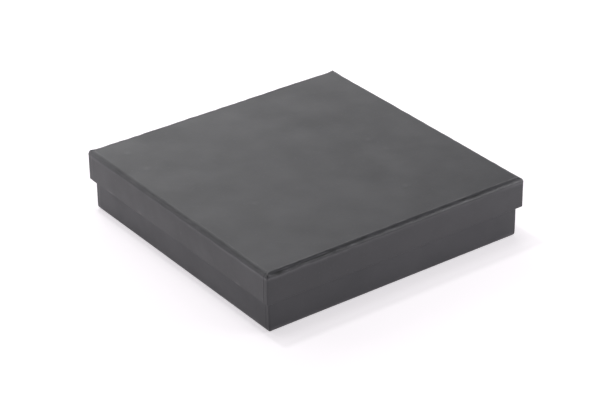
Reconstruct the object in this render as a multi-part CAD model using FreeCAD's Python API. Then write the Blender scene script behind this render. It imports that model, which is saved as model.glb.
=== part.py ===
# Two-piece set-up gift box: a shallow square tray and a lift-off lid that slips down over its upper half.
# Each half is one greyboard blank folded up on its scores, four paper stays that hold its corners,
# one cover sheet that wraps the outside and turns in over the rim, and one lining sheet inside.
# Frame: millimetres, +Z up, origin at the middle of the standing face, -Y is the front.

import FreeCAD
import Part

import os

# Closed box, outside
BOX_WIDTH = 200.0
BOX_DEPTH = 200.0
BOX_HEIGHT = 42.5
LID_HEIGHT = 21.0

# Sheet materials
BOARD = 2.0
COVER_PAPER = 0.2
LINING_PAPER = 0.15
STAY_TAPE = 0.12

# Fit of the lid: sideways all round the tray, and between the tray's rim and the lid's lining
LID_CLEARANCE = 0.6
SEAT_CLEARANCE = 0.05

# Greyboard blanks: outside radius of the scored folds, which are softer on the lid, outside radius of the
# crisp upright corners, score crease along the inside of a fold, and the slit where two walls butt
TRAY_FOLD_RADIUS = 2.0
LID_FOLD_RADIUS = 3.2
CORNER_RADIUS = 0.4
SCORE_WIDTH = 0.8
SCORE_DEPTH = 0.4
CORNER_SLIT = 0.2

# Corner stays: reach along each wall from the corner, and how far they stop short of the fold and the rim
STAY_REACH = 18.0
STAY_END_GAP = 1.5

# Cover sheets: depth of the tray's turned-in edge, how far the lid's stops short of its lining,
# gap between turned-in flaps at an inside corner, distance from an upright corner to the edge of the
# side flap that is lapped over the next wall's tab, and the step down from that edge to the tab
TRAY_TURN_IN = 20.0
LID_TURN_IN_GAP = 0.5
TURN_IN_GAP = 0.6
TRAY_LAP_SETBACK = 3.0
LID_LAP_SETBACK = 3.6
LAP_STEP = 0.1

# Linings: bare rim left above the tray's lining, margin round the lid's flat one, gap between lining flaps
TRAY_LINING_REVEAL = 8.0
LID_LINING_MARGIN = 0.5
LINING_FLAP_GAP = 0.8

# Sizes that follow from those above
WALL = BOARD + 2 * COVER_PAPER
RIM_RADIUS = 2 * COVER_PAPER
LID_STEP = WALL + LID_CLEARANCE
TRAY_WIDTH = BOX_WIDTH - 2 * LID_STEP
TRAY_DEPTH = BOX_DEPTH - 2 * LID_STEP
PANEL = COVER_PAPER + BOARD
LINED_PANEL = PANEL + LINING_PAPER
TRAY_HEIGHT = BOX_HEIGHT - LINED_PANEL - SEAT_CLEARANCE
LID_TURN_IN = LID_HEIGHT - LINED_PANEL - LID_TURN_IN_GAP

SIDES = (-1, 1)


def block(width, depth, low, high):
    """A plain block centred on the Z axis, from one height to another."""
    corner = FreeCAD.Vector(-width / 2, -depth / 2, low)
    return Part.makeBox(width, depth, high - low, corner)


def folded_block(width, depth, low, high, fold, corner):
    """A block as a sheet folded up on four sides makes it: round folds below and crisp upright corners."""
    plain = block(width, depth, low, high)
    bottom = [edge for edge in plain.Edges if edge.BoundBox.ZMax < high]
    uprights = [edge for edge in plain.Edges if edge.BoundBox.ZLength > fold]
    side_folds = [edge for edge in bottom if edge.BoundBox.YLength > fold]
    end_folds = [edge for edge in bottom if edge.BoundBox.XLength > fold]
    crisp = plain.makeFillet(corner, uprights)
    return crisp.common(plain.makeFillet(fold, side_folds)).common(plain.makeFillet(fold, end_folds))


def corner_blocks(inner, outer, low, high):
    """Four blocks, one at each corner, between an inner and an outer point (x, y) mirrored to all sides."""
    blocks = []
    for side_x in SIDES:
        for side_y in SIDES:
            xs = sorted((side_x * inner[0], side_x * outer[0]))
            ys = sorted((side_y * inner[1], side_y * outer[1]))
            corner = FreeCAD.Vector(xs[0], ys[0], low)
            blocks.append(Part.makeBox(xs[1] - xs[0], ys[1] - ys[0], high - low, corner))
    return blocks


class OpenBox:
    """One half of the gift box, built with its open side up and its closed panel standing on Z = 0."""

    def __init__(self, width, depth, height, fold_radius, turn_in, lap_setback):
        self.width = width
        self.depth = depth
        self.height = height
        self.fold_radius = fold_radius
        self.turn_in = turn_in
        self.lap_setback = lap_setback
        self.board_width = width - 2 * COVER_PAPER
        self.board_depth = depth - 2 * COVER_PAPER
        self.board_rim = height - COVER_PAPER
        self.well_width = self.board_width - 2 * BOARD
        self.well_depth = self.board_depth - 2 * BOARD
        self.inside_width = self.well_width - 2 * COVER_PAPER
        self.inside_depth = self.well_depth - 2 * COVER_PAPER

    def outside_block(self, inset):
        """The solid block inside the outer face of this half, set in by a thickness of paper or tape."""
        fold = self.fold_radius + COVER_PAPER - inset
        corner = CORNER_RADIUS + COVER_PAPER - inset
        width = self.width - 2 * inset
        depth = self.depth - 2 * inset
        return folded_block(width, depth, inset, self.height, fold, corner)

    def board_block(self):
        """The solid block that the outer faces of the folded greyboard enclose, up to its rim."""
        below_rim = block(self.width, self.depth, 0, self.board_rim)
        return self.outside_block(COVER_PAPER).common(below_rim)

    def board_envelope(self):
        """The folded greyboard as one open tray, before its slits, scores and stay seats are cut."""
        return self.board_block().cut(block(self.well_width, self.well_depth, PANEL, self.board_rim))

    def score_creases(self):
        """The pressed-in crease that the walls fold on, round the inside of the panel."""
        low = PANEL - SCORE_DEPTH
        flat_width = self.well_width - 2 * SCORE_WIDTH
        flat_depth = self.well_depth - 2 * SCORE_WIDTH
        flat = block(flat_width, flat_depth, low, PANEL)
        return block(self.well_width, self.well_depth, low, PANEL).cut(flat)

    def corner_slits(self):
        """The slit at each corner where the end of a side wall butts against the front or back wall."""
        inner = (self.well_width / 2, self.well_depth / 2 - CORNER_SLIT)
        outer = (self.board_width / 2, self.well_depth / 2)
        return corner_blocks(inner, outer, PANEL, self.board_rim)

    def stays(self):
        """Four strips of paper tape, bent round the upright corners and pressed flush into the board."""
        low = COVER_PAPER + self.fold_radius + STAY_END_GAP
        high = self.board_rim - STAY_END_GAP
        tape = self.outside_block(COVER_PAPER).cut(self.outside_block(COVER_PAPER + STAY_TAPE))
        inner = (self.board_width / 2 - STAY_REACH, self.board_depth / 2 - STAY_REACH)
        outer = (self.board_width / 2, self.board_depth / 2)
        return [tape.common(zone) for zone in corner_blocks(inner, outer, low, high)]

    def board(self):
        """The greyboard blank: panel and four walls in one piece, butted at the corners."""
        blank = self.board_envelope().cut(self.score_creases())
        return blank.cut(Part.Compound(self.corner_slits() + self.stays()))

    def rim_edges(self, shell):
        """The edges of the shell that lie in the plane of its rim."""
        return [edge for edge in shell.Edges if edge.BoundBox.ZMin > self.height - LAP_STEP]

    def cover(self):
        """The cover sheet: panel, outside walls, the fold over the rim and the turned-in edge."""
        shell = self.outside_block(0).cut(block(self.inside_width, self.inside_depth, PANEL, self.height))
        shell = shell.makeFillet(RIM_RADIUS, self.rim_edges(shell))
        turn_in_edge = self.height - self.turn_in
        below = block(self.well_width, self.well_depth, PANEL, turn_in_edge)
        sheet = shell.cut(Part.Compound([self.board_envelope(), below]))
        return sheet.cut(Part.Compound(self.turn_in_notches(turn_in_edge) + self.lap_rebates()))

    def turn_in_notches(self, low):
        """The gap at each inside corner between two turned-in flaps, up to the fold over the rim."""
        inner = (self.inside_width / 2 - TURN_IN_GAP, self.inside_depth / 2 - TURN_IN_GAP)
        outer = (self.well_width / 2, self.well_depth / 2)
        return corner_blocks(inner, outer, low, self.board_rim - RIM_RADIUS)

    def lap_rebates(self):
        """The step down at each upright corner from the edge of a side flap to the tab under it."""
        inner = (self.width / 2 - LAP_STEP, self.depth / 2 - self.lap_setback)
        outer = (self.width / 2, self.depth / 2)
        return corner_blocks(inner, outer, COVER_PAPER + self.fold_radius, self.height)

    def flat_lining(self, margin):
        """A lining sheet that covers the panel only."""
        return block(self.inside_width - 2 * margin, self.inside_depth - 2 * margin, PANEL, LINED_PANEL)

    def folded_lining(self, reveal):
        """A lining sheet that covers the panel and turns up the walls over the turned-in edge."""
        top = self.height - reveal
        sheet = block(self.inside_width, self.inside_depth, PANEL, top)
        hollow_width = self.inside_width - 2 * LINING_PAPER
        hollow_depth = self.inside_depth - 2 * LINING_PAPER
        sheet = sheet.cut(block(hollow_width, hollow_depth, LINED_PANEL, top))
        inner = (hollow_width / 2 - LINING_FLAP_GAP, hollow_depth / 2 - LINING_FLAP_GAP)
        outer = (self.inside_width / 2, self.inside_depth / 2)
        return sheet.cut(Part.Compound(corner_blocks(inner, outer, LINED_PANEL, top)))


def turned_over(shape):
    """The shape moved from its open-side-up build position to the closed lid's place on the tray."""
    placed = shape.copy()
    placed.rotate(FreeCAD.Vector(0, 0, 0), FreeCAD.Vector(1, 0, 0), 180)
    placed.translate(FreeCAD.Vector(0, 0, BOX_HEIGHT))
    return placed


def corner_name(shape):
    """The corner that a small piece stands at, in words."""
    centre = shape.BoundBox.Center
    row = "front" if centre.y < 0 else "back"
    column = "left" if centre.x < 0 else "right"
    return row + "_" + column


def gift_box():
    """Every piece of the closed box, by name."""
    tray = OpenBox(TRAY_WIDTH, TRAY_DEPTH, TRAY_HEIGHT, TRAY_FOLD_RADIUS, TRAY_TURN_IN, TRAY_LAP_SETBACK)
    lid = OpenBox(BOX_WIDTH, BOX_DEPTH, LID_HEIGHT, LID_FOLD_RADIUS, LID_TURN_IN, LID_LAP_SETBACK)
    pieces = {
        "tray_board": tray.board(),
        "tray_cover": tray.cover(),
        "tray_lining": tray.folded_lining(TRAY_LINING_REVEAL),
        "lid_board": turned_over(lid.board()),
        "lid_cover": turned_over(lid.cover()),
        "lid_lining": turned_over(lid.flat_lining(LID_LINING_MARGIN)),
    }
    for stay in tray.stays():
        pieces["tray_corner_stay_" + corner_name(stay)] = stay
    for stay in lid.stays():
        placed = turned_over(stay)
        pieces["lid_corner_stay_" + corner_name(placed)] = placed
    return pieces


def main():
    os.makedirs("parts", exist_ok=True)
    for name, shape in gift_box().items():
        shape.exportStep(os.path.join("parts", name + ".step"))
        print(f"{name}: {len(shape.Solids)} solid, valid {shape.isValid()}, {shape.Volume:.1f} mm3")


main()
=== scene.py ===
# %% [markdown]
# # A lift-off-lid gift box, dressed for its picture
#
# The box is a rigid "set-up" box: grey board folded into two shallow trays, one a little larger than
# the other, and each covered with one sheet of charcoal paper. The construction comes ready made in the
# frame: boards, corner tape, covers and linings, all at their real size. This lesson gives the paper
# what paper has and a solid lacks: uneven folds, lapped corners, a rubbed edge, a fine fibre. Each
# sheet is rebuilt as a thin skin that lies on its board, so that nothing has to be fitted afterwards.

# %% Load the frame
import math
from collections import namedtuple

import bmesh
import bpy
from mathutils import Matrix, Vector, noise


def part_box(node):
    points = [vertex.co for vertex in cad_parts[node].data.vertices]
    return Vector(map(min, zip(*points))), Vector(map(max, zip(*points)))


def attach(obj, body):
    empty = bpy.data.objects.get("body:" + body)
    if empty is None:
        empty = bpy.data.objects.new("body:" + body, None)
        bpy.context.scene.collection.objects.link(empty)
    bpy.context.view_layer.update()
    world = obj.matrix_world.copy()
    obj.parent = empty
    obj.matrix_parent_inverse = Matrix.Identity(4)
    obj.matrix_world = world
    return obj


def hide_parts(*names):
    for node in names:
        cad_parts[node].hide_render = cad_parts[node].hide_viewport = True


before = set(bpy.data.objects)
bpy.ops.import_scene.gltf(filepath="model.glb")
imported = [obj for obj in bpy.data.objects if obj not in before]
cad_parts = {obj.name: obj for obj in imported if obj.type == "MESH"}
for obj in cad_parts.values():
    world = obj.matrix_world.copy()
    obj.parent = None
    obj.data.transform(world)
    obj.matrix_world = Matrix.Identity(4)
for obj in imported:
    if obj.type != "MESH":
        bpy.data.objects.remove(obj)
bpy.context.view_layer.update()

MM = 0.001

# %% [markdown]
# ## Sizes that come from the frame
#
# A node's box gives its lowest and highest corner. Comparing the boxes of neighbours gives the
# thickness of each sheet: the cover is as much higher than its board as the paper is thick. Reading
# these keeps the skins right when the box is made in another size. The boxes do not show how round the
# edges are, so those radii are given: the soft fold round the lid's top, the tighter one under the
# tray, the crisp upright corners, and a rim that turns within two thicknesses of paper.

# %% Sizes of the two halves
lid_low, lid_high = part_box("lid_cover")
tray_low, tray_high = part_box("tray_cover")
lid_lining_low, lid_lining_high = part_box("lid_lining")
tray_lining_low, tray_lining_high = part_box("tray_lining")
board_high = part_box("lid_board")[1]

PAPER = lid_high.z - board_high.z
BOARD = board_high.z - lid_lining_high.z
LINING = lid_lining_high.z - lid_lining_low.z
WALL = BOARD + 2 * PAPER
RIM_RADIUS = 2 * PAPER
LID_FOLD = 3.4 * MM
TRAY_FOLD = 2.2 * MM
CORNER = 0.4 * MM
print(f"paper {PAPER / MM:.2f} mm, board {BOARD / MM:.2f} mm, lining {LINING / MM:.2f} mm")

# %% [markdown]
# ## The camera
#
# The picture looks down on one corner from about 29 degrees, through a long lens from a metre and a
# half away, which is why the far edges are hardly shorter than the near ones. A camera could be aimed
# by eye, but the corners of the box in the picture pin it down, so the numbers below were solved from
# them. The camera's three axes are built first and turned into one matrix.

# %% Camera
IMAGE_WIDTH = 610
SENSOR_WIDTH = 36.0
FOCAL_PIXELS = 2230.2
AZIMUTH = math.radians(-36.103)
ELEVATION = math.radians(28.995)
ROLL = math.radians(-0.613)
DISTANCE = 1453.4 * MM
AIM_RIGHT = 0.865 * MM
AIM_UP = 12.297 * MM
SIGHT = 20.0


def photo_camera():
    """A camera at the picture's viewing angle."""
    level = math.cos(ELEVATION)
    back = Vector((math.sin(AZIMUTH) * level, -math.cos(AZIMUTH) * level, math.sin(ELEVATION)))
    flat_right = Vector((0, 0, 1)).cross(back).normalized()
    flat_up = back.cross(flat_right)
    right = math.cos(ROLL) * flat_right + math.sin(ROLL) * flat_up
    up = math.cos(ROLL) * flat_up - math.sin(ROLL) * flat_right
    place = back * DISTANCE + right * AIM_RIGHT + up * AIM_UP
    data = bpy.data.cameras.new("photo_camera")
    data.sensor_width = SENSOR_WIDTH
    data.lens = SENSOR_WIDTH * FOCAL_PIXELS / IMAGE_WIDTH
    data.clip_end = SIGHT
    camera = bpy.data.objects.new("photo_camera", data)
    turn = Matrix((right, up, back)).transposed()
    camera.matrix_world = Matrix.Translation(place) @ turn.to_4x4()
    bpy.context.scene.collection.objects.link(camera)
    bpy.context.scene.camera = camera
    return camera


camera = photo_camera()
print(f"lens {camera.data.lens:.1f} mm at {camera.location.length:.2f} m")

# %% [markdown]
# ## Small helpers for node trees
#
# A material is a graph of nodes. These helpers keep the recipes short: one adds a node and fills its
# sockets, with a plain value or with a link from another node's output, and one adds a sum of two
# values.


# %% Node helpers
def add_node(tree, kind, inputs=None, **settings):
    """A new node of this kind, with its settings and its input values or links."""
    node = tree.nodes.new(kind)
    for name, value in settings.items():
        setattr(node, name, value)
    for key, value in (inputs or {}).items():
        if isinstance(value, bpy.types.NodeSocket):
            tree.links.new(value, node.inputs[key])
        else:
            node.inputs[key].default_value = value
    return node


def calculate(tree, operation, first, second):
    """The result of a sum with two values or links."""
    return add_node(tree, "ShaderNodeMath", {0: first, 1: second}, operation=operation).outputs["Value"]


print("node helpers ready")

# %% [markdown]
# ## The room
#
# Dark paper with a slight sheen shows its surroundings plainly. Its flat faces mirror the white floor
# and the lamps, and its rounded folds, which mirror the room above, turn into dark lines. A room with
# things in it would put their shapes into that mirror. So this one is plain and dim: one even grey that
# fills the shadows a little, and leaves the rest to the lamps.

# %% World
ROOM_LIGHT = 0.26


def studio_world():
    """A plain dim room."""
    world = bpy.data.worlds.new("studio_room")
    world.use_nodes = True
    tree = world.node_tree
    tree.nodes.clear()
    light = add_node(tree, "ShaderNodeBackground", {"Color": (1, 1, 1, 1), "Strength": ROOM_LIGHT})
    out = add_node(tree, "ShaderNodeOutputWorld")
    tree.links.new(light.outputs["Background"], out.inputs["Surface"])
    bpy.context.scene.world = world


studio_world()
bpy.context.scene.view_settings.view_transform = "Standard"
print("world:", bpy.context.scene.world.name)

# %% [markdown]
# ## Lamps
#
# The picture says where its lamps are. The shadow is short, falls to the front and a little to the
# right and has a clear edge, so the key lamp is small and hangs high, behind and to the left, with a
# wider one overhead. The left fold stays pale, so lamps stand half high behind the box. The top is
# brightest along its back edge, so low lamps stand there too, and a small one close by. The front and
# its fold grow lighter to the right, so two small ones stand on that side. All are area lamps, whose
# size sets how soft a shadow is, and the camera sees none of them.

# %% Soft lamps
# For each lamp: its place, its width and height in metres, and its watts
LAMPS = {
    "key_lamp": ((-0.12, 0.4, 1.3), (0.12, 0.12), 2.6),
    "overhead_lamp": ((0.0, 0.1, 1.4), (0.3, 0.3), 1.9),
    "middle_back_lamp": ((0.0, 0.9, 0.75), (0.8, 0.5), 1.64),
    "middle_back_right_lamp": ((0.35, 0.9, 0.75), (0.8, 0.5), 0.92),
    "low_back_left_lamp": ((-0.45, 0.6, 0.25), (0.6, 0.4), 1.1),
    "low_back_right_lamp": ((0.5, 0.65, 0.3), (0.6, 0.4), 0.6),
    "near_back_lamp": ((0.0, 0.38, 0.13), (0.4, 0.12), 0.06),
    "near_front_right_lamp": ((0.35, -0.45, 0.15), (0.3, 0.2), 0.76),
    "high_right_lamp": ((0.45, -0.4, 0.55), (0.3, 0.3), 0.18),
}


def soft_lamp(name, place, size, watts):
    """A rectangular lamp turned to the box."""
    data = bpy.data.lights.new(name, "AREA")
    data.shape = "RECTANGLE"
    data.size, data.size_y = size
    data.energy = watts
    lamp = bpy.data.objects.new(name, data)
    lamp.location = place
    lamp.rotation_euler = (-Vector(place)).to_track_quat("-Z", "Y").to_euler()
    lamp.visible_camera = False
    bpy.context.scene.collection.objects.link(lamp)


for name, (place, size, watts) in LAMPS.items():
    soft_lamp(name, place, size, watts)
print("lamps:", ", ".join(LAMPS))

# %% [markdown]
# ## The floor
#
# The floor is a white sweep. Lamps strong enough to make it pure white would wash out the box. So it
# takes light and shadow as a matt surface does, and for the camera and for reflections a glow is added
# that lifts the open floor to the white of the picture. The shadow stays, because the glow is the same
# everywhere.

# %% Floor
FLOOR_SIZE = 12.0
FLOOR_WHITE = (0.8, 0.774, 0.8, 1)
GLOW_WHITE = (1, 0.968, 1, 1)
FLOOR_GLOW = 0.55


def floor_material():
    """A white floor that keeps its shadows."""
    material = bpy.data.materials.new("white_sweep")
    material.use_nodes = True
    tree = material.node_tree
    tree.nodes.clear()
    matt = add_node(tree, "ShaderNodeBsdfDiffuse", {"Color": FLOOR_WHITE})
    path = add_node(tree, "ShaderNodeLightPath").outputs
    seen = calculate(tree, "MAXIMUM", path["Is Camera Ray"], path["Is Glossy Ray"])
    seen = calculate(tree, "MAXIMUM", seen, path["Is Transmission Ray"])
    strength = calculate(tree, "MULTIPLY", seen, FLOOR_GLOW)
    glow = add_node(tree, "ShaderNodeEmission", {"Color": GLOW_WHITE, "Strength": strength})
    both = add_node(tree, "ShaderNodeAddShader", {0: matt.outputs["BSDF"], 1: glow.outputs["Emission"]})
    out = add_node(tree, "ShaderNodeOutputMaterial")
    tree.links.new(both.outputs["Shader"], out.inputs["Surface"])
    return material


def studio_floor():
    """A wide floor at the height that the box stands on."""
    mesh = bpy.data.meshes.new("floor")
    half = FLOOR_SIZE / 2
    corners = [(-half, -half, 0), (half, -half, 0), (half, half, 0), (-half, half, 0)]
    mesh.from_pydata(corners, [], [(0, 1, 2, 3)])
    mesh.materials.append(floor_material())
    floor = bpy.data.objects.new("floor", mesh)
    bpy.context.scene.collection.objects.link(floor)


studio_floor()
print(f"floor {FLOOR_SIZE:.0f} m wide")

# %% [markdown]
# ## Round the box: stations on the perimeter
#
# A wrapped sheet could be cut out flat and bent, but it is easier to describe as rings. Every ring goes
# once round the box, past the same stations: evenly spaced ones along the four sides and a few on each
# corner's arc. On the left and right walls a few stations stand close together: that is the cut edge of
# the side flap, lapped over the tab that comes round from the next wall.

# %% Perimeter stations
STATION_SPACING = 1.4 * MM
FLAP_EDGE_WIDTH = 0.08 * MM
FLAP_EDGE_ROOM = 0.3 * MM
LAP_LINE = 0.7 * MM


def even(first, last, spacing):
    """Evenly spaced values from first to last, both included."""
    count = max(1, round(abs(last - first) / spacing))
    return [first + (last - first) * i / count for i in range(count + 1)]


def stops_with_flap(run, seam):
    """Places along a side from -run to run, with closer ones at the two flap edges."""
    close = [seam - LAP_LINE, seam, seam + FLAP_EDGE_WIDTH, seam + LAP_LINE]
    clear = close[0] - FLAP_EDGE_ROOM
    stops = [stop for stop in even(-run, run, STATION_SPACING) if abs(stop) < clear]
    for stop in close + [run]:
        stops += [-stop, stop]
    return sorted(stops)


print(f"stations every {STATION_SPACING / MM} mm")

# %% [markdown]
# Each ring station remembers its wall, its place along that wall and the direction that leads out of
# the box there. It also carries weights for the flap: how far the paper is lifted by the tab under it,
# which is most at the flap's edge and fades towards the middle of the wall, the rub on that edge, and
# the painted shade in the step beside it. A round bump that fades out smoothly gives the first two.

# %% Stations of one half
ARC_STEPS = 6
LAP_REACH = 9.0 * MM
LID_LAP_SETBACK = 3.6 * MM
TRAY_LAP_SETBACK = 3.0 * MM
SAME_PLACE = 1e-9
NO_FLAP = (0.0, 0.0, 0.0)

# The flap's weights: its lift, the rub on its edge, and painted shade in the step beside it
RingStation = namedtuple("RingStation", "wall along stop out flap rub dirt corner")


def bump(distance, reach, height):
    """A round bump of this height that fades out at about twice its reach."""
    return height * math.exp(-((distance / reach) ** 2))


def flap_weights(stop, seam):
    """The lift, the rub and the painted shade that a flap gives to a stop on its side."""
    behind = seam - abs(stop)
    dirt = 1.0 if abs(behind + FLAP_EDGE_WIDTH) < SAME_PLACE else 0.0
    if behind < -SAME_PLACE:
        return 0.0, 0.0, dirt
    return bump(behind, LAP_REACH, 1.0), bump(behind, LAP_LINE, 1.0), dirt


def ring_stations(run_x, run_y, seam):
    """The stations round one half, counter-clockwise from the front left corner."""
    stations = []
    for side in range(4):
        angle = math.radians(90 * (side - 1))
        wall = Vector((round(math.cos(angle)), round(math.sin(angle))))
        along = Vector((-wall.y, wall.x))
        lapped = side % 2 == 1
        run = run_y if lapped else run_x
        for stop in stops_with_flap(run, seam) if lapped else even(-run, run, STATION_SPACING):
            weights = flap_weights(stop, seam) if lapped else NO_FLAP
            stations.append(RingStation(wall, along, stop, wall, *weights, False))
        for step in range(1, ARC_STEPS):
            turn = angle + math.radians(90 * step / ARC_STEPS)
            lead = Vector((math.cos(turn), math.sin(turn)))
            stations.append(RingStation(wall, along, run, lead, *NO_FLAP, True))
    return stations


lid_ring = ring_stations(lid_high.x - CORNER, lid_high.y - CORNER, lid_high.y - LID_LAP_SETBACK)
tray_ring = ring_stations(tray_high.x - CORNER, tray_high.y - CORNER, tray_high.y - TRAY_LAP_SETBACK)
print(f"{len(lid_ring)} stations round the lid, {len(tray_ring)} round the tray")

# %% [markdown]
# ## Down the wall: stations on the profile
#
# Going from the panel over the edge, the sheet bends through the fold, runs down the wall, turns round
# the rim in two tight bends and climbs back up the inside. A bevel on a box would make such folds too,
# but not the turned-in edge. Each profile station holds how far it is inside the outermost face, its
# depth below the panel, and the direction that the visible side of the paper faces there.

# %% Profile stations
FOLD_STEPS = 16
RIM_STEPS = 4
WALL_ROW = 2.0 * MM
INSIDE_ROW = 4.0 * MM
LID_TURN_IN = 18.15 * MM
TRAY_TURN_IN = 20.0 * MM

ProfileStation = namedtuple("ProfileStation", "zone inset depth out dip")


def quarter(steps):
    """Angles of a quarter turn, both ends included."""
    return [math.radians(90 * step / steps) for step in range(steps + 1)]


def cover_profile(height, fold, turn_in):
    """Stations from the panel's edge over the fold, the wall and the rim to the turned-in edge."""
    stations = []
    for turn in quarter(FOLD_STEPS):
        out, rise = math.sin(turn), math.cos(turn)
        stations.append(ProfileStation("fold", fold * (1 - out), fold * (1 - rise), out, -rise))
    for depth in even(fold, height - RIM_RADIUS, WALL_ROW)[1:]:
        stations.append(ProfileStation("wall", 0.0, depth, 1.0, 0.0))
    for turn in quarter(RIM_STEPS)[1:]:
        out, dip = math.cos(turn), math.sin(turn)
        drop = height - RIM_RADIUS * (1 - dip)
        stations.append(ProfileStation("rim", RIM_RADIUS * (1 - out), drop, out, dip))
    for turn in quarter(RIM_STEPS):
        back, dip = math.sin(turn), math.cos(turn)
        drop = height - RIM_RADIUS * (1 - dip)
        stations.append(ProfileStation("rim", WALL - RIM_RADIUS * (1 - back), drop, -back, dip))
    for depth in even(height - RIM_RADIUS, height - turn_in, INSIDE_ROW)[1:]:
        stations.append(ProfileStation("inside", WALL, depth, -1.0, 0.0))
    return stations


lid_profile = cover_profile(lid_high.z - lid_low.z, LID_FOLD, LID_TURN_IN)
tray_profile = cover_profile(tray_high.z - tray_low.z, TRAY_FOLD, TRAY_TURN_IN)
print(f"{len(lid_profile)} stations down the lid's wall, {len(tray_profile)} up the tray's")

# %% [markdown]
# ## Unevenness
#
# Paper glued over board is never quite flat: the glue lifts it in slow ripples and finer crinkles, and
# a fold wanders by a few tenths of a millimetre. Bump in a material would leave the outline straight,
# so the points themselves are moved, by smooth noise that is the same on each run. It only lifts, and
# so never pulls the paper into its board.

# %% Ripples and folds
RIPPLE_HEIGHT = 0.25 * MM
RIPPLE_LENGTH = 30 * MM
CRINKLE_HEIGHT = 0.08 * MM
CRINKLE_LENGTH = 9 * MM
FOLD_WANDER = 0.6 * MM
FOLD_WANDER_LENGTH = 6 * MM


def lift(point, length, height):
    """Smooth noise from 0 to height at a point."""
    return height * (0.5 + 0.5 * noise.noise(Vector(point) / length))


def paper_lift(point, fold):
    """How far the paper stands off its board at a point, more on a fold."""
    ripple = lift(point, RIPPLE_LENGTH, RIPPLE_HEIGHT)
    crinkle = lift(point, CRINKLE_LENGTH, CRINKLE_HEIGHT)
    wander = lift(point, FOLD_WANDER_LENGTH, FOLD_WANDER) * fold
    return ripple + crinkle + wander


print(f"paper lifts up to {(RIPPLE_HEIGHT + CRINKLE_HEIGHT) / MM:.2f} mm")

# %% [markdown]
# Glue and grit under the lid's panel make small lumps, and each of its corners keeps a little ear where
# the tab was pinched. They could be sculpted by hand, but a round bump with a place, a reach and a
# height is easier to read and to move.

# %% Lumps and ears
# For each lump: its place on the lid's panel, its reach and its height
GLUE_LUMPS = (
    (Vector((-82.0, 80.5)) * MM, 2.4 * MM, 0.14 * MM),
    (Vector((-84.0, 55.0)) * MM, 3.0 * MM, 0.10 * MM),
    (Vector((33.5, -63.5)) * MM, 2.0 * MM, 0.12 * MM),
    (Vector((-55.5, -24.5)) * MM, 2.6 * MM, 0.10 * MM),
    (Vector((54.0, 1.0)) * MM, 3.0 * MM, 0.10 * MM),
    (Vector((55.5, -16.5)) * MM, 2.6 * MM, 0.08 * MM),
)
EAR_REACH = 4.0 * MM
LOW_EAR = 0.5 * MM
TALL_EAR = 0.8 * MM


def lump_lift(x, y):
    """Lumps of glue and grit under the lid's panel."""
    here = Vector((x, y))
    return sum(bump((here - place).length, reach, height) for place, reach, height in GLUE_LUMPS)


def ear_lift(point, high):
    """The pinched ear on the folds at the lid's nearest corner, taller at the back."""
    corner = Vector((math.copysign(high.x, point.x), math.copysign(high.y, point.y), high.z))
    return bump((point - corner).length, EAR_REACH, TALL_EAR if point.y > 0 else LOW_EAR)


print(f"{len(GLUE_LUMPS)} lumps on the lid, ears up to {TALL_EAR / MM} mm")

# %% [markdown]
# ## From stations to a sheet
#
# A skin is a net: rows of points, stitched with quads. Two marks travel with each point for the
# finishes: how much lighter the paper is painted, for rubbed paper and for painted light, and how much
# darker, as painted shade. Marks on the points need no unwrapping and no painted picture.


# %% Sheet builder
class Sheet:
    """Collects the points, faces and marks of one skin. Rows run so that the visible side faces out."""

    def __init__(self):
        self.points = []
        self.faces = []
        self.rubbed = []
        self.painted_shades = []

    # The marks of a point: how much lighter it is painted, for rub and painted light, and how much darker,
    # as painted shade
    def add(self, point, rub=0.0, dirt=0.0):
        """A new point with its marks, as a number."""
        self.points.append(tuple(point))
        self.rubbed.append(rub)
        self.painted_shades.append(dirt)
        return len(self.points) - 1

    def grid(self, rows, closed=False, skip=None):
        """Quads between rows of point numbers, without the columns to skip."""
        width = len(rows[0])
        for upper, lower in zip(rows, rows[1:]):
            for c in range(width if closed else width - 1):
                n = (c + 1) % width
                if skip is None or not (skip[c] or skip[n]):
                    self.faces.append((upper[c], upper[n], lower[n], lower[c]))


print("sheet builder ready")

# %% [markdown]
# Points that meet are merged. A Solidify modifier then gives the skin the thickness of the paper,
# towards its board. It is applied at once, so that the cut edges can be marked sharp while the folds
# stay smooth.

# %% Sheet to paper
MERGE = 0.001 * MM
CUT_ANGLE = math.radians(38)


def thin_mesh(sheet, name):
    """The skin without thickness."""
    mesh = bpy.data.meshes.new(name + "_thin")
    mesh.from_pydata(sheet.points, [], sheet.faces)
    # The lighter mark and the painted shade mark go on the points
    mesh.attributes.new("rubbed", "FLOAT", "POINT").data.foreach_set("value", sheet.rubbed)
    mesh.attributes.new("painted_shades", "FLOAT", "POINT").data.foreach_set("value", sheet.painted_shades)
    work = bmesh.new()
    work.from_mesh(mesh)
    bmesh.ops.remove_doubles(work, verts=work.verts, dist=MERGE)
    loose = [vertex for vertex in work.verts if not vertex.link_faces]
    bmesh.ops.delete(work, geom=loose, context="VERTS")
    work.to_mesh(mesh)
    work.free()
    return mesh


def paper_skin(sheet, name, thickness):
    """The skin as an object, with the thickness of its paper and sharp cut edges."""
    thin = thin_mesh(sheet, name)
    skin = bpy.data.objects.new(name, thin)
    bpy.context.scene.collection.objects.link(skin)
    solid = skin.modifiers.new("paper_thickness", "SOLIDIFY")
    solid.thickness = thickness
    solid.offset = -1
    graph = bpy.context.evaluated_depsgraph_get()
    skin.data = bpy.data.meshes.new_from_object(skin.evaluated_get(graph))
    skin.modifiers.clear()
    bpy.data.meshes.remove(thin)
    skin.data.name = name
    skin.data.shade_smooth()
    skin.data.set_sharp_from_angle(angle=CUT_ANGLE)
    print(f"{name}: {len(skin.data.polygons)} faces")
    return skin


print(f"edges that turn by more than {math.degrees(CUT_ANGLE):.0f} degrees count as cut")
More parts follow.
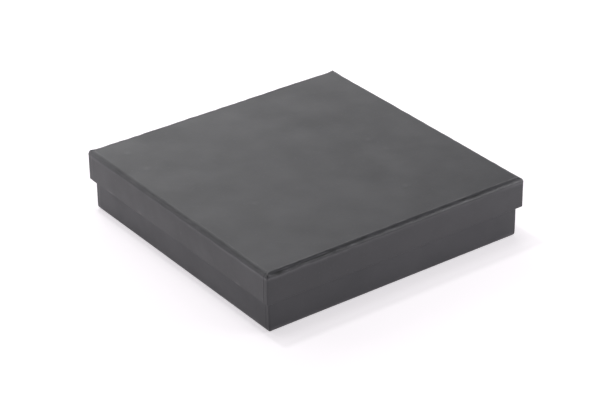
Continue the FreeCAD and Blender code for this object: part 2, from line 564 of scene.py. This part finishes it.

# %% [markdown]
# ## Wear, painted light and painted shade
#
# Handling leaves its marks where paper is bent or cut. A fold is painted lighter in a thin line along
# both of its ends, partly as rubbed paper and partly as a painted highlight. The lines wander a little.
# Near the front left corner, where the lamps light the fold least, both are stronger and the one beside
# the wall is wider, as painted highlight. A noise texture alone would not know where the folds are, so
# each mark is worked out at the points, as a share from 0 to 1.

# %% Rubbed lines on the folds
FOLD_START = math.radians(5)
FOLD_END = math.radians(84)
START_RUB = 0.7
RUB_SPREAD = math.radians(8)
RUB_WANDER = math.radians(9)
RUB_WANDER_LENGTH = 7 * MM
# Painted highlight: the lines are stronger near the front left corner, where the lamps light the fold
# least
DIM_CORNER = Vector((lid_low.x, lid_low.y, lid_high.z))
DIM_CORNER_REACH = 90 * MM
DIM_CORNER_SPREAD = 0.8
AWAY_FROM_DIM_CORNER = 0.45


def fold_rub_and_highlight(turn, point):
    """The lighter lines on a fold, partly rub and partly painted highlight: a wandering line along each of
    its ends, strongest near the front left corner, where the lamps light it least.
    """
    turn += RUB_WANDER * noise.noise(point / RUB_WANDER_LENGTH)
    dim_corner = bump((point - DIM_CORNER).length, DIM_CORNER_REACH, 1.0)
    start_line = bump(turn - FOLD_START, RUB_SPREAD, START_RUB)
    end_line = bump(turn - FOLD_END, RUB_SPREAD * (1 + DIM_CORNER_SPREAD * dim_corner), 1.0)
    return max(start_line, end_line) * (AWAY_FROM_DIM_CORNER + (1 - AWAY_FROM_DIM_CORNER) * dim_corner)


# The lines are partly rubbed paper and partly painted highlight
rubbed_at = [f"{math.degrees(angle):.0f}" for angle in (FOLD_START, FOLD_END)]
print("folds are rubbed at", " and ".join(rubbed_at), "degrees of their turn")

# %% [markdown]
# Between its two lines a fold is streaked along its length: painted shade where a crease's hollow would
# be and painted highlight where its ridge would be. At every corner but the front left one the whole
# fold is painted lighter, as painted light that lifts the fold's dark band, and there few streaks are
# left. The lid's rim is scuffed in a few places.

# %% Creases, worn corners and scuffs
# The crease streaks are painted shade and painted highlight; the mesh has no creases there
CREASE_LENGTH = 8 * MM
CREASES_ACROSS = 4.0
CREASE_DEPTH = 2.0
# Painted light on the whole fold near the corners, which lifts its dark band
CORNER_LIGHT_REACH = 22 * MM
CORNER_FOLD_LIGHT = 0.8
# For each scuff: its place along the rim, seen from above, and its reach
RIM_SCUFFS = (
    (Vector((-100.0, 75.0)) * MM, 6.0 * MM),
    (Vector((-100.0, 40.0)) * MM, 3.0 * MM),
    (Vector((-100.0, -69.0)) * MM, 4.0 * MM),
)


def fold_crease(turn, stop, side):
    """Painted crease streaks along a fold: above 0 for painted shade in a hollow, below 0 for painted
    highlight on a ridge.
    """
    streak = noise.noise(Vector((stop / CREASE_LENGTH, turn * CREASES_ACROSS, side)))
    return CREASE_DEPTH * streak * math.sin(2 * turn) ** 2


def fold_corner_light(point, from_corner):
    """How much painted light lifts the whole fold: most at a corner, and not at all at the front left one.
    """
    return bump(from_corner, CORNER_LIGHT_REACH, CORNER_FOLD_LIGHT) if max(point.x, point.y) > 0 else 0.0


def rim_scuff(point):
    """The rub where the lid's rim has been scuffed."""
    here = Vector((point.x, point.y))
    return max(bump((here - place).length, reach, 1.0) for place, reach in RIM_SCUFFS)


print(len(RIM_SCUFFS), "scuffs on the rim")

# %% [markdown]
# ## The two cover sheets
#
# Each half is wrapped in one sheet, drawn over the board and turned in over its rim. Lid and tray are
# wrapped alike, one with its panel up and one with its panel down, so one recipe makes both. It starts
# with the measures of each sheet.


# %% Measures of a cover sheet
class CoverSheet(Sheet):
    """One wrapped cover sheet, with its measures and stations."""

    def __init__(self, low, high, fold, lap_setback, ring, profile, panel_up):
        super().__init__()
        self.high = high
        self.height = high.z - low.z
        self.fold = fold
        self.seam = high.y - lap_setback
        self.ring = ring
        self.profile = profile
        self.panel_up = panel_up
        self.panel = high.z if panel_up else low.z
        self.down = -1 if panel_up else 1


lid_wrap = CoverSheet(
    lid_low, lid_high, LID_FOLD, LID_LAP_SETBACK, lid_ring, lid_profile, panel_up=True
)
tray_wrap = CoverSheet(
    tray_low, tray_high, TRAY_FOLD, TRAY_LAP_SETBACK, tray_ring, tray_profile, panel_up=False
)
print(f"lid {lid_wrap.height / MM:.1f} mm deep, tray {tray_wrap.height / MM:.1f} mm")

# %% [markdown]
# A ring is shorter on the fold and on the inside than on the wall. Scaling it would shift every
# station, and the columns of the net would lean. So the stations along a side stay where they are, and
# only those close to a corner crowd together.

# %% Places on a ring
INSIDE_CORNER = 0.35 * MM
CROWDED_END = 0.3 * MM
OUTER_ZONES = ("fold", "wall")


def crowd(sheet, stop, half, end):
    """The place of a stop on a ring whose straight ends here: those near a corner crowd together."""
    still = half - max(sheet.fold, WALL + INSIDE_CORNER) - CROWDED_END
    share = max(0.0, abs(stop) - still) / (half - CORNER - still)
    return math.copysign(min(abs(stop), still) + share * (end - still), stop)


def ring_point(sheet, station, spot):
    """The place of a station on the ring at a profile station."""
    reach = CORNER * (1 - spot.inset / sheet.fold) if spot.zone in OUTER_ZONES else INSIDE_CORNER
    half = Vector((sheet.high.x, sheet.high.y))
    across = abs(station.wall.dot(half)) - spot.inset - reach
    half_along = abs(station.along.dot(half))
    stop = crowd(sheet, station.stop, half_along, half_along - spot.inset - reach)
    return station.wall * across + station.along * stop + station.out * reach


first_place = ring_point(lid_wrap, lid_ring[0], lid_profile[0])
print(f"the lid's first ring starts at {first_place.x / MM:.1f}, {first_place.y / MM:.1f} mm")

# %% [markdown]
# On the lid the panel, fold and wall take the unevenness. The tray stands on its panel, which stays
# flat, and its rim and both insides stay true, because the lid has to slide there. The front and back
# folds are looser than those under the side flaps, where two layers are drawn tight.

# %% Standing off the board
TIGHT_FOLD = 0.4
TRUE_ZONES = ("rim", "inside")


def looseness(station):
    """How loose the fold is at a station: 1 in front and at the back, less at the sides."""
    return 1 - (1 - TIGHT_FOLD) * abs(station.out.x)


def stand_off(sheet, point, zone, depth, fold):
    """How far the paper stands off its board at a point of the lid or tray."""
    if zone in TRUE_ZONES:
        return 0.0
    if not sheet.panel_up:
        return paper_lift(point, fold) * min(1.0, depth / (2 * sheet.fold))
    lumps = lump_lift(point.x, point.y) if zone == "panel" else 0.0
    return paper_lift(point, fold) + ear_lift(point, sheet.high) * fold + lumps


print(f"side folds are {TIGHT_FOLD} times as loose as the front one")

# %% [markdown]
# The lid's upright corners are painted lighter, as painted light, and the cut edge of each flap is
# rubbed, both most near the top; the step beside the flap gets a little painted shade. The tray gets
# painted shade at the foot of its corners. Each of these small recipes gives a pair: the lightening
# and the painted shade.

# %% Marks on folds, flaps and feet
# Painted highlight on the ridges of the crease streaks
RIDGE_HIGHLIGHT = 0.7
UPPER_PART = 0.5
# Painted light on the lid's upright corners, below and at their tips
LOW_CORNER_LIGHT = 0.32
CORNER_TIP_LIGHT = 0.75
LOW_FLAP_RUB = 0.7
# Painted shade in the step beside a flap's edge
LAP_SHADE = 0.1
# Painted shade at the foot of the tray's corners
FOOT_WIDTH = 2 * CORNER
FOOT_REACH = 7 * MM
FOOT_SHADE = 0.8


def fold_marks(sheet, point, station, spot):
    """Lighter lines, painted light near the corners and painted crease streaks of a fold. Each wall has
    its own streaks.
    """
    turn = math.asin(min(1.0, spot.out))
    # Near the corners the fold is painted lighter, as painted light
    worn = fold_corner_light(point, sheet.high.x - abs(station.stop))
    crease = fold_crease(turn, station.stop, station.wall.x + 2 * station.wall.y)
    crease *= looseness(station) * (1 - worn)
    # The lightening first, then the painted shade of the crease hollows
    return max(worn, -RIDGE_HIGHLIGHT * crease, fold_rub_and_highlight(turn, point)), max(0.0, crease)


def flap_marks(sheet, station, spot):
    """The lid's upright corners painted lighter as painted light, its rubbed flap edges, and the painted
    shade in the step beside a flap.
    """
    upper = bump(spot.depth, UPPER_PART * sheet.height, 1.0)
    tip = LOW_CORNER_LIGHT + (CORNER_TIP_LIGHT - LOW_CORNER_LIGHT) * upper if station.corner else 0.0
    edge = station.rub * (LOW_FLAP_RUB + (1 - LOW_FLAP_RUB) * upper)
    return spot.out * max(tip, edge), LAP_SHADE * station.dirt * spot.out


def foot_shade(sheet, station, spot):
    """Painted shade at the foot of the tray's corners, on their front and back."""
    if sheet.high.x - abs(station.stop) >= FOOT_WIDTH:
        return 0.0, 0.0
    return 0.0, bump(spot.depth, FOOT_REACH, FOOT_SHADE) * abs(station.out.y)


# The corners' lighter values are painted light
print(f"corners are rubbed {LOW_CORNER_LIGHT} below and {CORNER_TIP_LIGHT} at their tips")

# %% [markdown]
# Where marks meet, the strongest counts: adding them up would turn every crossing into a stain. The
# inside is clean, and on the rim only its outer bend is painted lighter: painted light all along it, and
# rubbed where it is scuffed.

# %% All marks at a point
# Painted light on the rim's outer bend, which hides its dark line
RIM_LIGHT = 0.15
SCUFF_REACH = 2.5 * MM


def marks_at(sheet, point, station, spot):
    """The lightening and the painted shade at a point on the fold, the wall, the rim or the inside."""
    if spot.zone == "inside":
        return 0.0, 0.0
    scuff = rim_scuff(point) if sheet.panel_up else 0.0
    if spot.zone == "rim":
        return max(RIM_LIGHT, scuff) * max(0.0, spot.out), 0.0
    if spot.zone == "fold":
        rub, dirt = fold_marks(sheet, point, station, spot)
    else:
        rub, dirt = bump(sheet.height - spot.depth, SCUFF_REACH, scuff), 0.0
    corner_marks = flap_marks if sheet.panel_up else foot_shade
    corner_rub, corner_shade = corner_marks(sheet, station, spot)
    return min(1.0, max(rub, corner_rub)), min(1.0, max(dirt, corner_shade))


print(f"scuffs reach {SCUFF_REACH / MM} mm up from the rim")

# %% [markdown]
# Now the net can be laid. Each profile station becomes one ring of points, moved off the board in the
# direction that the paper faces there, and the rings are stitched into one sheet. The turned-in edge is
# left open at the inside corners, where a real sheet is cut so that its flaps do not bunch up.

# %% Wrapping the walls
LID_FLAP_LIFT = 0.14 * MM
TRAY_FLAP_LIFT = 0.04 * MM


def wrapped_row(sheet, spot):
    """One ring of the sheet at a profile station. A fold is most uneven half way round its turn."""
    row = []
    fold = -2 * spot.out * spot.dip if spot.zone == "fold" else 0.0
    lap = spot.out if spot.zone in OUTER_ZONES else 0.0
    lap *= LID_FLAP_LIFT if sheet.panel_up else TRAY_FLAP_LIFT
    for station in sheet.ring:
        flat = ring_point(sheet, station, spot)
        point = Vector((flat.x, flat.y, sheet.panel + sheet.down * spot.depth))
        facing = Vector((station.out.x * spot.out, station.out.y * spot.out, sheet.down * spot.dip))
        stand = stand_off(sheet, point, spot.zone, spot.depth, fold * looseness(station))
        stand += lap * station.flap
        row.append(sheet.add(point + facing * stand, *marks_at(sheet, point, station, spot)))
    return row


def wrap_walls(sheet):
    """Fold, wall, rim and turned-in edge, cut open at the inside corners."""
    rows = [wrapped_row(sheet, spot) for spot in sheet.profile]
    outer = len([spot for spot in sheet.profile if spot.zone != "inside"])
    corners = [station.corner for station in sheet.ring]
    sheet.grid(rows[:outer][:: sheet.down], closed=True)
    sheet.grid(rows[outer - 1 :][:: sheet.down], closed=True, skip=corners)


for sheet in (lid_wrap, tray_wrap):
    wrap_walls(sheet)
print(f"{len(lid_wrap.points)} points on the lid's walls, {len(tray_wrap.points)} on the tray's")

# %% [markdown]
# The panel closes the sheet between the folds. Its rows and columns end on the points of the first
# ring, so that the two merge without a seam. The tops of the lumps are rubbed a little.

# %% Closing the panels
LUMP_TOP = 0.1 * MM
LUMP_RUB = 0.48


def close_panel(sheet):
    """The flat panel between the folds."""
    ends = Vector((sheet.high.x - sheet.fold, sheet.high.y - sheet.fold))
    rows = []
    for across in stops_with_flap(sheet.high.y - CORNER, sheet.seam):
        y = crowd(sheet, across, sheet.high.y, ends.y)
        row = []
        for along in even(CORNER - sheet.high.x, sheet.high.x - CORNER, STATION_SPACING):
            x = crowd(sheet, along, sheet.high.x, ends.x)
            point = Vector((x, y, sheet.panel))
            lump = lump_lift(x, y) / LUMP_TOP if sheet.panel_up else 0.0
            away = Vector((0, 0, -sheet.down)) * stand_off(sheet, point, "panel", 0.0, 0.0)
            row.append(sheet.add(point + away, rub=LUMP_RUB * min(1.0, lump)))
        rows.append(row)
    sheet.grid(rows[:: -sheet.down])


for sheet in (lid_wrap, tray_wrap):
    close_panel(sheet)
print(f"{len(lid_wrap.faces)} quads on the lid, {len(tray_wrap.faces)} on the tray")

# %% [markdown]
# Each finished skin rides on the body of its half and takes the place of the plain solid, which stays
# behind it for collisions.


# %% Cover sheets
def put_on(skin, body, node):
    """Puts a skin on its body in the place of a node."""
    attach(skin, body)
    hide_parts(node)
    return skin


lid_cover = put_on(paper_skin(lid_wrap, "lid_cover_paper", PAPER), "lid", "lid_cover")
tray_cover = put_on(paper_skin(tray_wrap, "tray_cover_paper", PAPER), "tray", "tray_cover")

# %% [markdown]
# ## The linings
#
# Inside, a plain sheet hides the raw board. The lid's is a flat square on the panel. It could stay the
# plain solid that it is, but glued paper ripples, so it is built as a skin like the covers. It stays
# flat near its edges, where the tray's rim meets it.

# %% Lid lining
LINING_SPACING = 4.0 * MM
LINING_RIPPLE = 0.08 * MM
RIM_CONTACT = 6.0 * MM


def lid_lining_skin():
    """The flat lining sheet under the lid's panel, still where the tray's rim meets it."""
    sheet = Sheet()
    rows = []
    for y in even(lid_lining_low.y, lid_lining_high.y, LINING_SPACING):
        row = []
        for x in even(lid_lining_low.x, lid_lining_high.x, LINING_SPACING):
            margin = min(lid_lining_high.x - abs(x), lid_lining_high.y - abs(y))
            loose = min(1.0, max(0.0, (margin - RIM_CONTACT) / RIM_CONTACT))
            sag = lift((x, y, lid_lining_low.z), RIPPLE_LENGTH, LINING_RIPPLE) * loose
            row.append(sheet.add((x, y, lid_lining_low.z - sag), rub=1.0 if margin < MERGE else 0.0))
        rows.append(row)
    sheet.grid(rows[::-1])
    return paper_skin(sheet, "lid_lining_paper", LINING)


lid_lining = put_on(lid_lining_skin(), "lid", "lid_lining")

# %% [markdown]
# The tray's lining is cut like a cross. Its four flaps turn up the walls and cover the turned-in edge
# of the outside paper, and that edge shows through as a faint step. Bump in the material could fake the
# step, but a real one stays in the mesh.

# %% Lining flaps
LINING_FOLD = 0.4 * MM
LINING_FOLD_STEPS = 3
TURN_IN_SHOW = 1.2 * MM
STEP_SHARE = 0.9
turn_in_edge = tray_high.z - TRAY_TURN_IN
lining_floor = tray_lining_low.z + LINING


def wall_face(half, height):
    """Distance from the middle to the lining's face, which sinks back below the turned-in edge."""
    below = min(1.0, max(0.0, (turn_in_edge - height) / TURN_IN_SHOW + 0.5))
    return half - LINING + STEP_SHARE * PAPER * below * below * (3 - 2 * below)


def flap_profile(half):
    """Stations (distance from the middle, height) of a flap, from the panel up to its cut edge."""
    foot = wall_face(half, lining_floor)
    stations = []
    for turn in quarter(LINING_FOLD_STEPS)[1:]:
        rise = LINING_FOLD * (1 - math.cos(turn))
        stations.append((foot - LINING_FOLD * (1 - math.sin(turn)), lining_floor + rise))
    step_low, step_high = turn_in_edge - TURN_IN_SHOW, turn_in_edge + TURN_IN_SHOW
    heights = even(lining_floor + LINING_FOLD, step_low, WALL_ROW)[1:]
    heights += even(step_low, step_high, TURN_IN_SHOW / 2)[1:]
    heights += even(step_high, tray_lining_high.z, WALL_ROW)[1:]
    return stations + [(wall_face(half, height), height) for height in heights]


print(f"the lining steps back by {STEP_SHARE * PAPER / MM:.2f} mm, {turn_in_edge / MM:.1f} mm up")

# %% [markdown]
# The panel of the lining ripples like the lid's, and the four flaps are one flap turned round. They
# stop short of the corners, so that they do not run into each other.

# %% Tray lining
FLAP_GAP = 0.8 * MM


def lining_panel(sheet, stops, edge):
    """The panel of the tray's lining, flat along its folds."""
    rows = []
    for y in stops:
        row = []
        for x in stops:
            loose = min(1.0, (edge - max(abs(x), abs(y))) / RIM_CONTACT)
            rise = lift((x, y, lining_floor), RIPPLE_LENGTH, LINING_RIPPLE) * loose
            row.append(sheet.add((x, y, lining_floor + rise)))
        rows.append(row)
    sheet.grid(rows)


def tray_lining_skin():
    """The cross-shaped lining sheet with its four flaps turned up."""
    sheet = Sheet()
    half = tray_lining_high.x
    edge = wall_face(half, lining_floor) - LINING_FOLD
    flap_end = half - LINING - FLAP_GAP
    flap_stops = even(-flap_end, flap_end, LINING_SPACING / 2)
    lining_panel(sheet, [-edge] + flap_stops + [edge], edge)
    for side in range(4):
        turn = Matrix.Rotation(math.radians(90 * side), 3, "Z")
        flap = []
        for place, height in [(edge, lining_floor)] + flap_profile(half):
            cut = 1.0 if height > tray_lining_high.z - MERGE else 0.0
            flap.append([sheet.add(turn @ Vector((stop, -place, height)), rub=cut) for stop in flap_stops])
        sheet.grid(flap[::-1])
    return paper_skin(sheet, "tray_lining_paper", LINING)


tray_lining = put_on(tray_lining_skin(), "tray", "tray_lining")

# %% [markdown]
# ## Effects that the finishes share
#
# Every sheet here is made of fibres, so one node group gives them all: a fine grain, shallow dimples
# where glue or pressing has pulled the sheet, slow clouds where it is thicker or more polished, and
# stray flecks. All four are noise, which needs no picture file and has no seams. Each material sets its
# own sizes.


# %% Group helpers
def new_group(name, inputs, outputs):
    """An empty node group with value sockets, and its input and output nodes."""
    group = bpy.data.node_groups.new(name, "ShaderNodeTree")
    for label in inputs:
        group.interface.new_socket(label, in_out="INPUT", socket_type="NodeSocketFloat")
    for label in outputs:
        group.interface.new_socket(label, in_out="OUTPUT", socket_type="NodeSocketFloat")
    return group, add_node(group, "NodeGroupInput").outputs, add_node(group, "NodeGroupOutput")


def noise_mask(tree, size, detail, low, high):
    """Noise with features of this size in metres, stretched so that low becomes 0 and high becomes 1."""
    place = add_node(tree, "ShaderNodeTexCoord").outputs["Object"]
    scale = calculate(tree, "DIVIDE", 1.0, size)
    grain = add_node(tree, "ShaderNodeTexNoise", {"Vector": place, "Scale": scale, "Detail": detail})
    stretch = {"Value": grain.outputs["Fac"], "From Min": low, "From Max": high}
    return add_node(tree, "ShaderNodeMapRange", stretch).outputs["Result"]


print("group helpers ready")

# %% Paper fibre group
# For each mask: the detail of its noise, and the noise values that become 0 and 1
FIBRE_MASKS = {
    "Grain": (3.0, 0.25, 0.75),
    "Dimple": (2.0, 0.25, 0.75),
    "Cloud": (4.0, 0.3, 0.7),
    "Fleck": (1.0, 0.66, 0.74),
}


def paper_fibre_group():
    """Grain, dimples, clouds and flecks of a fibrous sheet."""
    group, given, out = new_group("paper_fibre", [mask + " Size" for mask in FIBRE_MASKS], FIBRE_MASKS)
    for mask, (detail, low, high) in FIBRE_MASKS.items():
        group.links.new(noise_mask(group, given[mask + " Size"], detail, low, high), out.inputs[mask])
    return group


paper_fibre = paper_fibre_group()
print("group:", paper_fibre.name)

# %% [markdown]
# A second group turns the marks on the points into masks: one for lighter paint, for rubbed paper and
# for painted light, and one for painted shade. Straight from the points they would look airbrushed, so
# noise breaks them up into patches, and a power narrows the lighter mask.

# %% Edge wear group
# The detail of the patches' noise, and the noise values that become 0 and 1
PATCH_MASK = (2.0, 0.35, 0.65)
PATCH_LEAST = 0.6
RUB_POWER = 2.0


def wear_light_and_shade_group():
    """Broken-up masks for lighter paint, rubbed and painted light, and for painted shade, from the marks
    on the points.
    """
    group, given, out = new_group("wear_light_and_shade", ("Rubbed", "Dirty", "Patch Size"), ("Rub", "Dirt"))
    patches = noise_mask(group, given["Patch Size"], *PATCH_MASK)
    shares = {0: patches, 1: 1 - PATCH_LEAST, 2: PATCH_LEAST}
    broken = add_node(group, "ShaderNodeMath", shares, operation="MULTIPLY_ADD").outputs["Value"]
    narrow = calculate(group, "POWER", given["Rubbed"], RUB_POWER)
    group.links.new(calculate(group, "MULTIPLY", narrow, broken), out.inputs["Rub"])
    group.links.new(calculate(group, "MULTIPLY", given["Dirty"], broken), out.inputs["Dirt"])
    return group


wear_light_and_shade = wear_light_and_shade_group()
print("group:", wear_light_and_shade.name)

# %% [markdown]
# ## Finishes
#
# All finishes of the box follow one plan: a colour that fibre varies, and on the papers also wear,
# painted light and painted shade, a roughness that follows the fibre, and a relief of grain and dimples.
# The helpers place a group in a material, blend colours and values by a mask, and join the results to
# the shader, which stays in the material itself.

# %% Finish helpers
# The Mix node's sockets for two colours and their blend, by number, because others share their names
MIX_FIRST, MIX_SECOND, MIX_RESULT = 6, 7, 2


def new_finish(name):
    """A new material, its node tree and its shader."""
    material = bpy.data.materials.new(name)
    material.use_nodes = True
    return material, material.node_tree, material.node_tree.nodes["Principled BSDF"]


def place_group(tree, group, **values):
    """A copy of a node group in a material, with its own values."""
    inputs = {name.replace("_", " "): value for name, value in values.items()}
    return add_node(tree, "ShaderNodeGroup", inputs, node_tree=group).outputs


def blend_colour(tree, mask, first, second):
    """The first colour where the mask is 0 and the second where it is 1."""
    node = add_node(tree, "ShaderNodeMix", {"Factor": mask}, data_type="RGBA")
    for key, colour in ((MIX_FIRST, first), (MIX_SECOND, second)):
        if isinstance(colour, bpy.types.NodeSocket):
            tree.links.new(colour, node.inputs[key])
        else:
            node.inputs[key].default_value = (*colour, 1)
    return node.outputs[MIX_RESULT]


def blend_value(tree, mask, low, high):
    """The low value where the mask is 0 and the high one where it is 1."""
    node = add_node(tree, "ShaderNodeMapRange", {"Value": mask, "To Min": low, "To Max": high})
    return node.outputs["Result"]


def dress(tree, shader, colour, rough, fibre, relief):
    """Joins colour, roughness and the relief of grain and dimples to a shader."""
    height = calculate(tree, "ADD", fibre["Grain"], fibre["Dimple"])
    bumps = add_node(tree, "ShaderNodeBump", {"Height": height, "Distance": relief})
    tree.links.new(colour, shader.inputs["Base Color"])
    tree.links.new(rough, shader.inputs["Roughness"])
    tree.links.new(bumps.outputs["Normal"], shader.inputs["Normal"])


print("finish helpers ready")

# %% [markdown]
# Cover and lining are both papers that clouds and flecks vary, and that carry marks: pale where they are
# rubbed and where light is painted on, dark where shade is painted on. So they share the recipe for
# their colour, each with its own shades.

# %% Colour of a marked paper
# Painted shade: the colour of the crease hollows, the step beside a flap and the foot of the tray's
# corners
PAINTED_SHADE = (0.012, 0.012, 0.013)


def wear_light_and_shade_colour(tree, fibre, patch_size, clouds, fleck, rubbed):
    """Two shades in clouds, with flecks, and over them the lighter marks, for rub and painted light, and
    the painted shade marks on the points.
    """
    # The first mark is rub and painted light, the second painted shade
    rub_mark = add_node(tree, "ShaderNodeAttribute", attribute_name="rubbed").outputs["Fac"]
    shade_mark = add_node(tree, "ShaderNodeAttribute", attribute_name="painted_shades").outputs["Fac"]
    worn = place_group(tree, wear_light_and_shade, Rubbed=rub_mark, Dirty=shade_mark, Patch_Size=patch_size)
    colour = blend_colour(tree, fibre["Cloud"], *clouds)
    colour = blend_colour(tree, fibre["Fleck"], colour, fleck)
    colour = blend_colour(tree, worn["Rub"], colour, rubbed)
    return blend_colour(tree, worn["Dirt"], colour, PAINTED_SHADE)


# The colour above carries wear, painted light and painted shade
print("colour of worn paper ready")

# %% [markdown]
# ### Charcoal cover paper
#
# The outside is a charcoal paper with a slight calendered sheen. On its folds and corners the colour is
# painted a little lighter, partly for rubbed paper and partly as painted light. Hands have polished the
# lid's sheet, so the tray's is a touch more matt, and its colour is painted paler, as painted light that
# lifts the tray under these lamps. One finish for both would be simpler, but beside each other this
# parts the two halves where the light alone would not.

# %% Charcoal finish
CHARCOAL_SIZES = {
    "Grain_Size": 0.5 * MM,
    "Dimple_Size": 3.5 * MM,
    "Cloud_Size": 26 * MM,
    "Fleck_Size": 1.8 * MM,
}
CHARCOAL_PATCH = 5 * MM
CHARCOAL_CLOUDS = ((0.0447, 0.0441, 0.0501), (0.0523, 0.0515, 0.0585))
CHARCOAL_FLECK = (0.0565, 0.0555, 0.063)
# The lighter colour serves rubbed paper and painted light alike
CHARCOAL_RUB_AND_LIGHT = (0.13, 0.128, 0.14)
CHARCOAL_RELIEF = 0.014 * MM
# Painted light: the tray's colour is painted paler by this factor to lift it under these lamps; the lid's
# is left as it is
LID_LIGHT_LIFT = 1.0
LID_ROUGH = (0.44, 0.36)
TRAY_LIGHT_LIFT = 1.14
TRAY_ROUGH = (0.525, 0.445)


def charcoal_paper(name, light_lift, roughness):
    """Charcoal paper with a slight sheen, lighter where it is rubbed and where light is painted on."""
    material, tree, shader = new_finish(name)
    fibre = place_group(tree, paper_fibre, **CHARCOAL_SIZES)
    clouds = [[light_lift * part for part in cloud] for cloud in CHARCOAL_CLOUDS]
    colour = wear_light_and_shade_colour(tree, fibre, CHARCOAL_PATCH, clouds, CHARCOAL_FLECK, CHARCOAL_RUB_AND_LIGHT)
    rough = blend_value(tree, fibre["Cloud"], *roughness)
    dress(tree, shader, colour, rough, fibre, CHARCOAL_RELIEF)
    return material


charcoal = charcoal_paper("charcoal_lid_paper", LID_LIGHT_LIFT, LID_ROUGH)
matt_charcoal = charcoal_paper("charcoal_tray_paper", TRAY_LIGHT_LIFT, TRAY_ROUGH)
lid_cover.data.materials.append(charcoal)
tray_cover.data.materials.append(matt_charcoal)
print("finishes:", charcoal.name, matt_charcoal.name)

# %% [markdown]
# ### Black lining paper
#
# The lining is a plain uncoated black paper. Its grain is larger, deeper and duller than the cover's,
# and it is the grain, not the clouds, that changes how rough it is, because no hands have polished it.

# %% Lining finish
LINING_SIZES = {
    "Grain_Size": 0.8 * MM,
    "Dimple_Size": 5 * MM,
    "Cloud_Size": 14 * MM,
    "Fleck_Size": 1.6 * MM,
}
LINING_PATCH = 4 * MM
LINING_CLOUDS = ((0.030, 0.030, 0.032), (0.036, 0.036, 0.038))
LINING_FLECK = (0.055, 0.054, 0.055)
LINING_RUBBED = (0.075, 0.074, 0.076)
LINING_ROUGH = (0.85, 0.68)
LINING_RELIEF = 0.03 * MM


def black_lining_paper():
    """Uncoated black paper with a soft open grain."""
    material, tree, shader = new_finish("black_lining_paper")
    fibre = place_group(tree, paper_fibre, **LINING_SIZES)
    colour = wear_light_and_shade_colour(tree, fibre, LINING_PATCH, LINING_CLOUDS, LINING_FLECK, LINING_RUBBED)
    rough = blend_value(tree, fibre["Grain"], *LINING_ROUGH)
    dress(tree, shader, colour, rough, fibre, LINING_RELIEF)
    return material


black_lining = black_lining_paper()
for skin in (lid_lining, tray_lining):
    skin.data.materials.append(black_lining)
print("finish:", black_lining.name)

# %% [markdown]
# ### Grey board and kraft tape
#
# The raw board is grey recycled fibre with flecks, and the corner tape is brown kraft paper. Both show
# only in the gaps between the sheets, where no hand rubs them. So they keep their solids, and their
# finish has two shades and flecks but no wear.

# %% Board and tape finishes
RAW_SIZES = {"Dimple_Size": 4 * MM, "Cloud_Size": 9 * MM, "Fleck_Size": 2.2 * MM}
RAW_ROUGH = (0.95, 0.82)


def raw_fibre(name, grain, pale, dark, fleck, relief):
    """A raw fibre sheet between two shades, with flecks."""
    material, tree, shader = new_finish(name)
    fibre = place_group(tree, paper_fibre, Grain_Size=grain, **RAW_SIZES)
    colour = blend_colour(tree, fibre["Grain"], dark, pale)
    colour = blend_colour(tree, fibre["Fleck"], colour, fleck)
    rough = blend_value(tree, fibre["Cloud"], *RAW_ROUGH)
    dress(tree, shader, colour, rough, fibre, relief)
    return material


greyboard = raw_fibre(
    "greyboard",
    grain=0.9 * MM,
    pale=(0.30, 0.28, 0.24),
    dark=(0.21, 0.195, 0.17),
    fleck=(0.10, 0.09, 0.08),
    relief=0.05 * MM,
)
kraft = raw_fibre(
    "kraft_tape",
    grain=0.6 * MM,
    pale=(0.42, 0.28, 0.15),
    dark=(0.33, 0.21, 0.11),
    fleck=(0.20, 0.12, 0.06),
    relief=0.03 * MM,
)
print("finishes:", greyboard.name, kraft.name)

# %% [markdown]
# Every solid of the frame gets the finish of what it is, the covered ones too.

# %% Finishes of the solids
NODE_FINISHES = {"cover": charcoal, "lining": black_lining, "stay": kraft, "board": greyboard}

for name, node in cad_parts.items():
    node.data.materials.clear()
    node.data.materials.append(next(finish for word, finish in NODE_FINISHES.items() if word in name))
print(len(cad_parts), "solids finished")

# %% [markdown]
# ## Size
#
# The dressed box has to keep the size of the construction.

# %% Size
print("box dressed")
